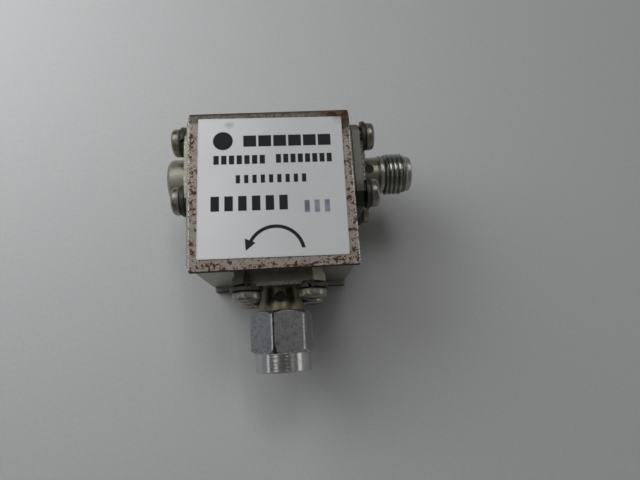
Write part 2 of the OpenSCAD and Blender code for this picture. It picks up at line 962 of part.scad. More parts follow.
// Four split lock washers over a flange of thickness t
module washer_set(t, turn) {
    for (i = [0 : 3])
        rotate([0, 0, 90 * i])
            translate([screw_pitch / 2, screw_pitch / 2, t])
                rotate([0, 0, turn + 53 * i])
                    split_washer();
}

// Ring with one slanting split
module split_washer() {
    difference() {
        ring(washer_hole_d, washer_d, 0, washer_t);
        translate([0, washer_d / 4, washer_t / 2])
            rotate([0, 30, 0])
                cube([washer_split, washer_d / 2 + 1, 4 * washer_t], center = true);
    }
}

module plug_screws() {
    color(nut_c)
        on_plug_face()
            screw_set(flange_face, 20);
}

module jack_screws() {
    color(nut_c)
        on_jack_face()
            screw_set(flange_face, 65);
}

module load_screws() {
    color(nut_c)
        on_load_face()
            screw_set(load_flange_t, 40);
}

module plug_lock_washers() {
    color(nut_c)
        on_plug_face()
            washer_set(flange_face, 10);
}

module jack_lock_washers() {
    color(nut_c)
        on_jack_face()
            washer_set(flange_face, 100);
}

module load_lock_washers() {
    color(nut_c)
        on_load_face()
            washer_set(load_flange_t, 200);
}

yoke();
housing_block();
label();
lower_magnet();
upper_magnet();
lower_pole_disc();
upper_pole_disc();
lower_ferrite();
upper_ferrite();
cover_disc();
centre_conductor();
plug_body();
plug_dielectric();
plug_pin();
plug_epoxy();
coupling_nut();
snap_ring();
gasket();
jack_body();
jack_dielectric();
jack_contact();
jack_epoxy();
load_body();
load_resistor();
load_bead();
load_contact();
plug_screws();
jack_screws();
load_screws();
plug_lock_washers();
jack_lock_washers();
load_lock_washers();
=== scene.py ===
import math
import bmesh
import bpy
import numpy as np
from mathutils import Matrix


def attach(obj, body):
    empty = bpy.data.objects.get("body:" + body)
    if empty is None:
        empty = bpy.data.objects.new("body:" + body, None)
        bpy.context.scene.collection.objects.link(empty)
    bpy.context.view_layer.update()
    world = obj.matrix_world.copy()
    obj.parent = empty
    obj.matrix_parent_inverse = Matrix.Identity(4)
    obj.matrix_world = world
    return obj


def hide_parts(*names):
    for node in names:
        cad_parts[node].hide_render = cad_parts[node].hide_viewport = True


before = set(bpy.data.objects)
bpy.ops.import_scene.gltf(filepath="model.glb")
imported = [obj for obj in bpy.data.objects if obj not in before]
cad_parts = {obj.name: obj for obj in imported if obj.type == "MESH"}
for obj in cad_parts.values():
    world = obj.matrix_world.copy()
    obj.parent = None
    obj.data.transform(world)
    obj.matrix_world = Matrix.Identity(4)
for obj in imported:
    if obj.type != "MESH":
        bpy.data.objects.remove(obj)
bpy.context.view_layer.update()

MM = 0.001

# Places on the isolator in millimetres, as the solids have them
PORT_Z = 10.4
SIDE_PORT_Y = 5.1
PLUG_FACE_Y = -12.15
JACK_FACE_X = 12.95
LOAD_FACE_X = -12.5
YOKE_LEFT, YOKE_RIGHT = -11.0, 10.6
YOKE_FRONT, YOKE_BACK, YOKE_TOP = -10.65, 11.65, 20.8
LABEL_MIDDLE = (-0.2, 0.3)
LABEL_TURN = math.radians(-0.8)
LABEL_HALF = (9.58, 9.55)

# Marks on the top: the yoke's rusted corner, and on the label a brown stain, a grey smudge that is wider
# along X than along Y, and small dots at random, one in each cube of their spacing
RUSTED_CORNER = (10.3, 10.6)
STAIN_PLACE = (9.6, 10.2)
SMUDGE_PLACE, SMUDGE_SHAPE = (-5.55, 8.9), math.sqrt(2.2)
DOT_SPACING = 2.6

# The threaded ports: their origin on the flange's outer face in metres, and the direction that they face
PORTS = {
    "plug": (np.array([0.0, PLUG_FACE_Y, PORT_Z]) * MM, np.array([0.0, -1.0, 0.0])),
    "jack": (np.array([JACK_FACE_X, SIDE_PORT_Y, PORT_Z]) * MM, np.array([1.0, 0.0, 0.0])),
}

# Heights above the flange's outer face: the end of a connector's neck, and the end of the jack's thread
NECK_END = 3.15
THREAD_END = 6.4

# Where a flange's edge with bright specks, partly wear and partly painted glints, starts: how far under its
# outer face, and how far out from the port's axis
CONNECTOR_EDGE = (0.37, 5.93)
LOAD_EDGE = (0.40, 5.90)

# The pan heads: how far their axes are from the port's axis, to the side and up or down, and where the
# darkening starts in the recess and round the rim, partly dirty and partly painted shade, as a distance
# from the head's axis and a height above the flange
SCREW_PLACE = 8.85 / 2
RECESS_REACH, RECESS_TOP = 1.06, 1.76
RIM_REACH, RIM_TOP = 1.85, 0.9

# The coupling nut's width across flats, and its turn on the plug
NUT_FLATS = 7.94
NUT_TURN = math.radians(-16.6)

# Where the hexagon starts and ends along the plug, and the cones that cut both its ends: their radius
# there, and its rise inwards
NUT_START, NUT_HEX_END = 3.2, 8.95
CONE_START, CONE_RISE = 3.92, 1.21

# The turn of a dark seam on the nut round the plug's axis
SEAM_TURN = math.radians(103.2)

# The 1/4-36 thread: 36 turns to the inch with flanks at 60 degrees
PITCH = 25.4 / 36
CREST_FLAT = 0.27
FLANK_SLOPE = math.sqrt(3.0)

# A thread's ends taper off at a slope, from a little deeper than its root
TAPER_SLOPE, TAPER_DEPTH = 1.3, 0.08

# Radii of the threads: crest, root, the sleeve's back, and the plain wall that makes room for the sleeve
JACK_THREAD = (3.13, 2.88, 2.45, 2.66)
NUT_THREAD = (2.85, 3.18, 3.40, 3.22)

# How finely a thread is drawn: columns round a turn, and rows across a profile
THREAD_COLUMNS, THREAD_ROWS = 144, 14

# How far off its radius a point may lie and still belong to a round wall, in millimetres
WALL_SPREAD = 0.02

# How near two points count as one, and how short an edge is dropped, in metres: on a copied mesh and on a
# sleeve. What bend between two faces still counts as flat.
COPY_JOIN = (2e-6, 1e-6)
SLEEVE_JOIN = (1e-6, 1e-7)
FLAT_BEND = math.radians(0.4)

# An edge that bends more than this stays sharp, and is broken by a small bevel
SHARP_BEND = math.radians(28)

# Print on the label, in millimetres. A row has its left, right, lower and upper edge, its number of
# blocks, and the share of a step that a block fills.
BLACK_ROWS = [
    (-3.97, 7.90, 5.72, 7.32, 6, 0.86),
    (-7.88, -0.87, 3.28, 4.52, 7, 0.70),
    (0.27, 7.94, 3.34, 4.58, 8, 0.70),
    (-5.11, 4.55, 0.62, 1.76, 9, 0.52),
    (-8.41, 2.11, -3.10, -1.10, 6, 0.62),
]
STAMPED_ROW = (3.61, 7.51, -3.55, -1.90, 3, 0.52)
DISC_MIDDLE, DISC_RADIUS = (-6.5, 6.6), 1.3

# The bent arrow: its middle, radius and half width, its foot, how far its neck is above that, and its head
ARROW_MIDDLE, ARROW_RADIUS, ARROW_HALF = (0.10, -8.83), 3.56, 0.23
ARROW_FOOT, ARROW_NECK = -8.18, 0.75
ARROW_HEAD = [(-2.42, -7.34), (-3.78, -6.75), (-3.69, -8.36)]

# The floor: half its width in metres, its points along a side, and from where to where it fades into the
# room, in millimetres
DESK_HALF, DESK_POINTS = 1.5, 31
HAZE_START, HAZE_END = 82.0, 200.0

# The point that the lamps face, in millimetres
LIT_POINT = np.array([0.0, 0.0, 10.0])

# Bright panels that mirror in the turned pieces: direction, half width in degrees, factor along Y and
# strength. They stand behind on the left, low on the left, high on the left, high on the right, low on
# the right, high behind, and overhead in front.
PANELS = [
    ((-0.480, 0.480, 0.735), 20.0, 1.0, 1.35),
    ((-0.896, 0.0, 0.444), 1.8, 0.2, 1.6),
    ((-0.500, 0.0, 0.866), 7.0, 1.3, 0.85),
    ((0.629, 0.0, 0.777), 8.0, 1.0, 0.35),
    ((0.951, 0.0, 0.309), 8.0, 0.7, 1.0),
    ((0.235, 0.440, 0.867), 3.1, 0.20, 4.0),
    ((-0.220, -0.351, 0.910), 5.0, 1.0, 1.3),
]


class Measure:
    """What one shader socket gives, for use in plain sums such as 1 - mask."""

    def __init__(self, finish, socket):
        self.finish = finish
        self.socket = socket

    def __add__(self, other):
        return self.finish.maths("ADD", self, other)

    def __radd__(self, other):
        return self.finish.maths("ADD", other, self)

    def __sub__(self, other):
        return self.finish.maths("SUBTRACT", self, other)

    def __rsub__(self, other):
        return self.finish.maths("SUBTRACT", other, self)

    def __mul__(self, other):
        return self.finish.maths("MULTIPLY", self, other)

    def __rmul__(self, other):
        return self.finish.maths("MULTIPLY", other, self)

    def __abs__(self):
        return self.finish.maths("ABSOLUTE", self)


class Finish:
    """A procedural finish, written as sums on the place in millimetres, in the isolator's own frame."""

    def __init__(self, name, world=None):
        self.owner = world or bpy.data.materials.new(name)
        self.owner.use_nodes = True
        self.tree = self.owner.node_tree
        self.tree.nodes.clear()
        if world is None:
            where = self.add("ShaderNodeTexCoord", out="Object")
            in_mm = {"Vector": where, "Scale": 1.0 / MM}
            self.place = self.add("ShaderNodeVectorMath", {"operation": "SCALE"}, in_mm)
            self.x, self.y, self.z = self.parts(self.place)

    def add(self, kind, settings=None, inputs=(), out=0):
        """Adds a node of a kind: first its settings, then the values or links of its sockets."""
        node = self.tree.nodes.new(kind)
        for key, value in (settings or {}).items():
            setattr(node, key, value)
        pairs = inputs.items() if isinstance(inputs, dict) else enumerate(inputs)
        for key, value in pairs:
            if isinstance(value, Measure):
                self.tree.links.new(value.socket, node.inputs[key])
            else:
                node.inputs[key].default_value = value
        return Measure(self, node.outputs[out]) if node.outputs else node

    def maths(self, operation, *terms):
        """One sum on plain values."""
        return self.add("ShaderNodeMath", {"operation": operation}, terms)

    def vector_maths(self, operation, *terms):
        """One sum on vectors. A length and a dot product come out as plain values."""
        out = "Value" if operation in ("LENGTH", "DOT_PRODUCT") else "Vector"
        return self.add("ShaderNodeVectorMath", {"operation": operation}, terms, out)

    def least(self, first, *others):
        """The smallest of several values."""
        for other in others:
            first = self.maths("MINIMUM", first, other)
        return first

    def most(self, first, *others):
        """The largest of several values."""
        for other in others:
            first = self.maths("MAXIMUM", first, other)
        return first

    def distance(self, aside, above):
        """How far a place is, from its distances in two directions at right angles."""
        return self.maths("SQRT", aside * aside + above * above)

    def parts(self, vector):
        """The three coordinates of a vector."""
        outputs = self.add("ShaderNodeSeparateXYZ", {}, (vector,)).socket.node.outputs
        return tuple(Measure(self, output) for output in outputs)

    def vector(self, x, y, z):
        """A vector from its three coordinates."""
        return self.add("ShaderNodeCombineXYZ", {}, (x, y, z))

    def rise(self, value, low, high):
        """0 where the value is at low, 1 where it is at high, and a smooth step between them."""
        settings = {"interpolation_type": "SMOOTHSTEP"}
        return self.add("ShaderNodeMapRange", settings, (value, low, high, 0.0, 1.0))

    def noise(self, vector, scale, detail, rough, warp=0.0):
        """Noise about 0.5, with lumps one unit wide at scale 1."""
        inputs = {
            "Vector": vector,
            "Scale": scale,
            "Detail": detail,
            "Roughness": rough,
            "Distortion": warp,
        }
        return self.add("ShaderNodeTexNoise", {}, inputs)

    def clouds(self, size, detail=2.0, rough=0.5, warp=0.0):
        """Noise about 0.5, whose lumps are about size millimetres wide."""
        return self.noise(self.place, 1.0 / size, detail, rough, warp)

    def patches(self, size, low, high, detail=2.0, rough=0.5):
        """Scattered patches: 1 where the clouds pass high, and 0 where they stay under low."""
        return self.rise(self.clouds(size, detail, rough), low, high)

    def wobble(self, reach, size, detail):
        """Noise about 0 that makes a smooth outline uneven: at most half its reach to either side."""
        return reach * (self.clouds(size, detail) - 0.5)

    def turning(self, height, radius, turn, size):
        """Fine rings that a lathe leaves: noise stretched round the axis."""
        stretched = self.vector(height * (1.0 / size), radius * (1.0 / size), turn * 0.35)
        return self.noise(stretched, 1.0, 2.0, 0.6)

    def scratches(self, size, lean):
        """Thin scratches in one direction: the crests of noise that is drawn out along it."""
        inputs = {"Vector": self.place, "Rotation": lean}
        turned = self.add("ShaderNodeVectorRotate", {"rotation_type": "EULER_XYZ"}, inputs)
        drawn = self.vector_maths("MULTIPLY", turned, (12.0 / size, 0.5 / size, 12.0 / size))
        return self.rise(self.noise(drawn, 1.0, 1.0, 0.5), 0.62, 0.72)

    def over(self, mask, base, top):
        """The base colour, with the top colour laid on it where the mask is 1."""
        factor, color_a, color_b, color_out = 0, 6, 7, 2
        inputs = {factor: mask, color_a: base, color_b: top}
        return self.add("ShaderNodeMix", {"data_type": "RGBA"}, inputs, color_out)

    def from_port(self, port):
        """Height above a port's flange, and distances aside and up from its axis, in millimetres."""
        if port == "plug":
            height, across = PLUG_FACE_Y - self.y, self.x
        elif port == "jack":
            height, across = self.x - JACK_FACE_X, self.y - SIDE_PORT_Y
        else:
            height, across = LOAD_FACE_X - self.x, self.y - SIDE_PORT_Y
        return height, across, self.z - PORT_Z

    def round_port(self, port):
        """Height above a port's flange, distance from the port's axis, and turn round it in radians."""
        height, across, up = self.from_port(port)
        return height, self.distance(across, up), self.maths("ARCTAN2", up, across)

    def flange_edge(self, height, across, up, edge):
        """1 on the bevel round a square flange, and 0 on its face and further down its sides."""
        depth, out = edge
        on_bevel = self.rise(height, -depth - 0.05, -depth + 0.05)
        return on_bevel * self.rise(self.most(abs(across), abs(up)), out - 0.05, out + 0.05)

    def surface(self, color, roughness, metallic, relief, mirror=0.5):
        """Ends the finish: values that change are linked and plain ones set. Relief is in millimetres."""
        bump = {"Strength": 1.0, "Distance": MM, "Height": relief}
        inputs = {
            "Base Color": color,
            "Roughness": roughness,
            "Metallic": metallic,
            "Specular IOR Level": mirror,
            "Normal": self.add("ShaderNodeBump", {}, bump, "Normal"),
        }
        shader = self.add("ShaderNodeBsdfPrincipled", {}, inputs)
        self.add("ShaderNodeOutputMaterial", {}, (shader,))
        return self.owner


def tint(red, green, blue, times=1.0):
    """A colour for a socket, made lighter or darker by a factor."""
    return (red * times, green * times, blue * times, 1.0)


# Finishes of the housing, the yoke and the label

def yoke_steel():
    """Dull plated sheet, specked with rust at its edges, rusted at a corner and bare at its cut front,
    which is dark partly from rust and partly as painted shade; its bright rims are partly wear and partly
    painted highlight.
    """
    f = Finish("yoke_steel")
    blotch = f.clouds(3.0)
    speck = f.clouds(0.72, 3.0, 0.60, 0.3)
    fine = f.clouds(0.24)
    to_side = f.least(f.x - YOKE_LEFT, YOKE_RIGHT - f.x)
    to_edge = f.least(to_side, f.y - YOKE_FRONT)

    # Rust comes where the noise passes a need, which falls towards the upper arm's edges
    on_top = f.rise(f.z, YOKE_TOP - 1.2, YOKE_TOP - 0.5)
    exposed = 0.25 + 0.75 * on_top * f.rise(to_edge, 2.2, 0.2)
    need = 0.692 - 0.15 * exposed - 0.20 * (blotch - 0.5)
    rust = f.rise(speck, need, need + 0.03)
    pins = f.rise(fine, need + 0.03, need + 0.06)
    halo = f.rise(speck, need - 0.06, need + 0.01)

    # The rusted corner, the stained bend, the dark band behind it, the cut front edge, dark partly from
    # rust and partly as painted shade, and the bright rims, partly wear and partly painted highlight
    corner = f.vector(f.x - RUSTED_CORNER[0], f.y - RUSTED_CORNER[1], f.z - YOKE_TOP)
    patch = f.rise(f.vector_maths("LENGTH", corner) + f.wobble(3.5, 1.1, 3.0), 4.4, 1.8)
    bend = f.rise(f.y + 0.8 * (blotch - 0.5), YOKE_BACK - 2.6, YOKE_BACK - 2.0)
    bend = bend * f.rise(f.z, YOKE_TOP - 3.0, YOKE_TOP - 1.0)
    back = f.rise(f.y + 0.5 * (speck - 0.5), YOKE_BACK - 1.15, YOKE_BACK - 0.85)
    back = back * f.rise(f.z, YOKE_TOP - 2.0, YOKE_TOP - 1.0)
    cut = f.rise(f.y, YOKE_FRONT + 0.10, YOKE_FRONT + 0.03)
    rim = f.rise(to_side, 0.24, 0.12) * f.rise(f.z, YOKE_TOP - 0.35, YOKE_TOP - 0.15)
    rim = rim * f.patches(0.2, 0.46, 0.54) * (1.0 - patch)

    plate = f.over(f.clouds(1.6, 4.0, 0.6), tint(0.255, 0.235, 0.205), tint(0.42, 0.392, 0.352))
    plate = f.over(0.35 * f.clouds(0.12), plate, tint(0.18, 0.155, 0.135))
    stained = f.over(0.5 * halo, plate, tint(0.22, 0.13, 0.085))
    rust_tone = f.over(fine, tint(0.032, 0.012, 0.008), tint(0.095, 0.040, 0.023))
    color = f.over(f.most(rust, pins), stained, rust_tone)
    bend_tone = f.over(f.rise(fine, 0.35, 0.65), tint(0.040, 0.040, 0.030), tint(0.135, 0.134, 0.108))
    bend_tone = f.over(f.rise(speck, 0.56, 0.61), bend_tone, tint(0.050, 0.022, 0.013))
    color = f.over(0.9 * bend, color, bend_tone)
    color = f.over(0.75 * back, color, tint(0.040, 0.032, 0.022))
    deep = f.patches(0.9, 0.42, 0.66, 4.0)
    color = f.over(patch, color, f.over(deep, tint(0.024, 0.016, 0.010), tint(0.105, 0.060, 0.027)))
    # Painted highlight, partly wear: near-white rims along the top edges of the sides
    color = f.over(0.8 * rim, color, tint(0.78, 0.76, 0.71))
    # Painted shade, partly rust: the cut front edge in dark brown
    color = f.over(cut, color, f.over(speck, tint(0.020, 0.011, 0.009), tint(0.10, 0.058, 0.042)))

    dull = f.most(rust, pins, patch, cut, 0.8 * bend)
    relief = 0.018 * dull * fine + 0.006 * f.clouds(0.35, 3.0) + 0.002 * f.scratches(1.4, (0.0, 0.0, 0.5))
    return f.surface(color, 0.47 + 0.33 * dull, 0.50 - 0.42 * dull, relief)


def block_plating():
    """Satin plating on the milled block, greenish grey, with faint mill lines and a few dull stains."""
    f = Finish("block_plating")
    stain = f.clouds(2.4, 4.0, 0.6)
    lines = f.scratches(1.0, (0.3, 0.5, 0.9))
    color = f.over(stain, tint(0.26, 0.255, 0.20), tint(0.46, 0.46, 0.41))
    color = f.over(0.30 * f.patches(0.9, 0.52, 0.68, 4.0, 0.7), color, tint(0.15, 0.135, 0.095))
    color = f.over(0.25 * lines, color, tint(0.56, 0.56, 0.52))
    return f.surface(color, 0.28 + 0.18 * stain, 0.92, 0.002 * lines + 0.003 * f.clouds(0.5, 3.0))


def printed_row(f, u, v, row):
    """Distance from the outline of a row of equal blocks, below 0 on the print.

    Beat is the distance from the middle of the nearest block. The whole steps in it only keep its sum
    above 0.
    """
    left, right, low, high, blocks, share = row
    step = (right - left) / blocks
    beat = f.maths("PINGPONG", u + (step * (4 * blocks - 0.5) - left), step / 2)
    aside = abs(u - (left + right) / 2) - (right - left) / 2
    above = abs(v - (low + high) / 2) - (high - low) / 2
    return f.most(aside, above, beat - step * share / 2)


def right_of_line(u, v, start, end):
    """Distance to the right of the line from start to end, below 0 on its left."""
    run, climb = end[0] - start[0], end[1] - start[1]
    length = math.hypot(run, climb)
    return (u - start[0]) * (climb / length) - (v - start[1]) * (run / length)


def label_print(f, u, v):
    """Distance from the outline of all the black print: rows of plain blocks, a disc and a bent arrow.

    On the label, u runs to the right and v to the back, in millimetres. The arrow is a ring, cut off below
    its foot and below its neck, with a triangle for its head.
    """
    disc = f.distance(u - DISC_MIDDLE[0], v - DISC_MIDDLE[1]) - DISC_RADIUS
    from_bow = abs(f.distance(u - ARROW_MIDDLE[0], v - ARROW_MIDDLE[1]) - ARROW_RADIUS) - ARROW_HALF
    under_bow = ARROW_FOOT - v + ARROW_NECK * f.maths("LESS_THAN", u, 0.0)
    head = f.most(*[right_of_line(u, v, ARROW_HEAD[i - 1], ARROW_HEAD[i]) for i in range(3)])
    rows = [printed_row(f, u, v, row) for row in BLACK_ROWS]
    return f.least(disc, f.most(from_bow, under_bow), head, *rows)


def label_film():
    """White film with black print and one bluish hand stamp: blocks and plain shapes, with no letters."""
    f = Finish("label_film")
    right, back = f.x - LABEL_MIDDLE[0], f.y - LABEL_MIDDLE[1]
    cosine, sine = math.cos(LABEL_TURN), math.sin(LABEL_TURN)
    across = right * cosine + back * sine
    along = back * cosine - right * sine
    to_edge = f.least(LABEL_HALF[0] - abs(across), LABEL_HALF[1] - abs(along))
    u, v = across + LABEL_MIDDLE[0], along + LABEL_MIDDLE[1]
    on_top = f.rise(f.z, YOKE_TOP + 0.05, YOKE_TOP + 0.1)

    # Paper with painted shade, darker towards the right where less light falls, with a brown stain near a
    # corner, dirty edges, a smudge and a few dots
    white = f.over(f.clouds(5.0, 3.0), tint(0.555, 0.568, 0.58), tint(0.615, 0.625, 0.637))
    shaded_paper = f.over(f.clouds(3.0, 3.0), tint(0.445, 0.455, 0.462), tint(0.50, 0.508, 0.515))
    # Painted shade: the paper turns to its darker tone towards the right
    color = f.over(f.rise(f.x, -9.5, 4.0), white, shaded_paper)
    from_stain = f.distance(f.x - STAIN_PLACE[0], f.y - STAIN_PLACE[1])
    stain = f.rise(from_stain + f.wobble(2.0, 0.9, 3.0), 1.8, 0.4)
    color = f.over(0.7 * stain, color, tint(0.17, 0.125, 0.065))
    soiled = f.rise(to_edge + 0.25 * f.clouds(0.6), 0.36, 0.10)
    color = f.over(0.45 * soiled, color, tint(0.42, 0.37, 0.31))
    from_smudge = f.distance(f.x - SMUDGE_PLACE[0], SMUDGE_SHAPE * (f.y - SMUDGE_PLACE[1]))
    smudge = f.rise(from_smudge + f.wobble(1.1, 0.6, 3.0), 0.95, 0.1)
    color = f.over(0.45 * smudge, color, tint(0.20, 0.20, 0.21))
    dots = {"Vector": f.place, "Scale": 1.0 / DOT_SPACING}
    from_dot = f.add("ShaderNodeTexVoronoi", {}, dots, "Distance")
    color = f.over(0.7 * f.rise(from_dot, 0.045, 0.02), color, tint(0.28, 0.24, 0.20))

    ink = f.rise(label_print(f, u, v), 0.035, -0.035) * on_top
    color = f.over(ink, color, tint(0.012, 0.013, 0.014))
    faded = 0.7 + 0.3 * f.patches(2.2, 0.35, 0.65, 1.0)
    stamp = f.rise(printed_row(f, u, v, STAMPED_ROW), 0.08, -0.08) * faded * on_top
    color = f.over(0.85 * stamp, color, tint(0.050, 0.058, 0.12))
    return f.surface(color, 0.50, 0.0, 0.0015 * f.clouds(0.25) + 0.004 * ink, 0.25)


# Finishes of the connectors, the load and the fasteners

def connector_plating(port, tarnished, hollow, olive, flange_tarnish_and_shade):
    """Turned body with tarnished plating: olive out to the hollow's radius and paler outside it.

    Tarnished is how much of the rest goes olive too, and olive is a factor on that tone: below 1 on the
    plug, where it darkens the neck as painted shade, and above 1 on the jack. Inside the hollow's radius
    the olive is partly tarnishing and partly painted shade. The factor flange_tarnish_and_shade is how far
    the flange is darkened, partly by tarnishing and partly as painted shade. An upper corner of the flange
    is darker, and its bevel has bright specks, partly wear and partly painted glints.
    """
    f = Finish(port + "_plating")
    height, across, up = f.from_port(port)
    radius, turn = f.distance(across, up), f.maths("ARCTAN2", up, across)
    rings = f.turning(height, radius, turn, 0.06)
    cloud = f.clouds(1.3, 4.0, 0.6)
    # Painted shade, partly tarnishing: inside the hollow's radius the body takes the dark olive tone, which
    # the olive factor darkens further on the plug's neck
    in_hollow = f.rise(radius, hollow + 0.12, hollow - 0.12) * f.rise(height, -0.2, 0.2)
    tarnish_and_shade = f.most(tarnished * f.rise(cloud, 0.30, 0.62), 0.9 * in_hollow)
    pale = f.over(cloud, tint(0.29, 0.28, 0.225), tint(0.46, 0.45, 0.40))
    dark = f.over(cloud, tint(0.20, 0.175, 0.115, olive), tint(0.42, 0.38, 0.26, olive))
    color = f.over(tarnish_and_shade, pale, dark)
    color = f.over(0.6 * f.patches(0.32, 0.64, 0.74, 3.0), color, tint(0.055, 0.045, 0.02))
    # Painted shade, partly tarnishing: the flange darkened by flange_tarnish_and_shade
    color = f.over(flange_tarnish_and_shade * f.rise(height, 0.05, -0.02), color, tint(0.125, 0.13, 0.105))
    # Darker at an upper corner of the flange
    darker_corner = f.rise(up - across + f.wobble(1.6, 0.7, 4.0), 9.2, 10.4) * f.rise(up, 3.0, 4.0)
    color = f.over(0.8 * darker_corner, color, tint(0.050, 0.048, 0.036))
    # Painted glints, partly wear: pale specks with less metal on the flange's bevel
    wear_and_glint = f.flange_edge(height, across, up, CONNECTOR_EDGE) * f.patches(0.26, 0.50, 0.60)
    color = f.over(0.8 * wear_and_glint, color, tint(0.62, 0.61, 0.56))
    bright = f.over(cloud, tint(0.44, 0.44, 0.41), tint(0.62, 0.62, 0.60))
    color = f.over(f.rise(height, NECK_END - 0.1, NECK_END + 0.1), color, bright)
    relief = 0.0025 * rings * f.rise(height, 0.0, 0.1) + 0.003 * f.clouds(0.3, 3.0)
    return f.surface(color, 0.27 + 0.20 * cloud, 1.0 - 0.6 * wear_and_glint, relief)


def thread_plating():
    """The threaded sleeve on the jack: brighter plating with fine rings, darker in the thread's root,
    partly dirty and partly painted shade.
    """
    f = Finish("thread_plating")
    height, radius, turn = f.round_port("jack")
    rings = f.turning(height, radius, turn, 0.04)
    crest = JACK_THREAD[0]
    grime_and_shade = f.rise(radius, crest - 0.02, crest - 0.17) * f.rise(height, THREAD_END + 0.2, THREAD_END - 0.2)
    cloud = f.clouds(0.9, 3.0)
    color = f.over(cloud, tint(0.29, 0.29, 0.274), tint(0.42, 0.42, 0.398))
    # Painted shade, partly dirty: the thread's root darkened
    color = f.over(0.40 * grime_and_shade, color, tint(0.085, 0.075, 0.058))
    return f.surface(color, 0.20 + 0.08 * grime_and_shade + 0.06 * cloud, 1.0, 0.0012 * rings)


def nut_steel():
    """Passivated nut: flats with nicks and long scratches, corners with wear and painted glints, and lathe
    rings on the band.

    A corner of the hexagon lies 30 degrees from the middle of each flat. Wear follows the corners, by the
    distance from them along a flat, and the lines where the flats meet the cones at both ends. A dark seam
    runs along the hexagon.
    """
    f = Finish("nut_steel")
    height, radius, turn = f.round_port("plug")
    rings = f.turning(height, radius, turn, 0.24)
    band = f.rise(height, NUT_HEX_END - 0.05, NUT_HEX_END + 0.05)
    cloud = f.clouds(1.1, 4.0, 0.65)
    leans = [(2.6, (0.3, 0.5, 1.2)), (1.8, (0.9, 0.2, 0.3)), (3.4, (0.1, 0.2, 2.0))]
    crossed = f.most(*[f.scratches(size, lean) for size, lean in leans])
    nick = f.patches(0.35, 0.70, 0.74)

    from_middle = f.maths("PINGPONG", turn + NUT_TURN, math.pi / 6)
    to_corner = NUT_FLATS / 2 * (math.tan(math.pi / 6) - f.maths("TANGENT", from_middle))
    from_flat = NUT_FLATS / 2 - radius * f.maths("COSINE", from_middle)
    from_cone = CONE_START - radius + CONE_RISE * f.least(height - NUT_START, NUT_HEX_END - height)
    nibble = f.wobble(0.34, 0.3, 2.0)
    end_wear = 0.15 + 0.6 * nibble - abs(from_flat) - abs(from_cone)
    wear_and_glint = f.most(0.20 + nibble - to_corner, end_wear, 0.0) * (1.0 - band)
    rubbed = f.rise(wear_and_glint, 0.0, 0.15)
    glinting_wear = rubbed * f.patches(0.2, 0.35, 0.55)
    seam_width = 0.05 * f.rise(height, 7.6, 8.9)
    beside_seam = abs(turn - SEAM_TURN + f.wobble(0.06, 0.35, 3.0)) - seam_width
    seam = f.rise(beside_seam, 0.034, 0.016) * (1.0 - band)

    color = f.over(cloud, tint(0.36, 0.365, 0.37), tint(0.46, 0.465, 0.47))
    color = f.over(0.45 * f.patches(0.7, 0.45, 0.65, 4.0, 0.65), color, tint(0.24, 0.235, 0.225))
    color = f.over(0.5 * crossed, color, tint(0.12, 0.115, 0.11))
    color = f.over(0.7 * nick, color, tint(0.14, 0.13, 0.115))
    color = f.over(band, color, tint(0.55, 0.55, 0.54))
    color = f.over(rubbed, color, tint(0.36, 0.37, 0.39))
    # Painted glints, partly wear: near-white specks on the rubbed corners
    color = f.over(glinting_wear, color, tint(0.82, 0.83, 0.84))
    color = f.over(0.9 * seam, color, tint(0.018, 0.016, 0.014))
    relief = 0.024 * rings * band - 0.9 * wear_and_glint * wear_and_glint
    relief = relief - 0.0008 * crossed - 0.006 * nick + 0.0008 * f.clouds(0.15)
    return f.surface(color, 0.26 + 0.10 * cloud - 0.10 * band, 1.0 - 0.35 * glinting_wear, relief)


def load_plating():
    """The load's flange and cap: matte warm grey plating, with bright specks on the flange's edge, partly
    wear and partly painted glints.
    """
    f = Finish("load_plating")
    height, across, up = f.from_port("load")
    cloud = f.clouds(1.2, 4.0, 0.6)
    color = f.over(cloud, tint(0.37, 0.353, 0.29), tint(0.65, 0.635, 0.565))
    color = f.over(0.6 * f.patches(0.4, 0.60, 0.70, 3.0), color, tint(0.16, 0.135, 0.08))
    # Painted glints, partly wear: near-white specks on the flange's edge
    wear_and_glint = f.flange_edge(height, across, up, LOAD_EDGE) * f.patches(0.22, 0.57, 0.66)
    color = f.over(0.8 * wear_and_glint, color, tint(0.90, 0.89, 0.85))
    roughness = 0.38 + 0.12 * cloud - 0.15 * wear_and_glint
    return f.surface(color, roughness, 1.0 - 0.5 * wear_and_glint, 0.012 * f.clouds(0.30, 3.0))


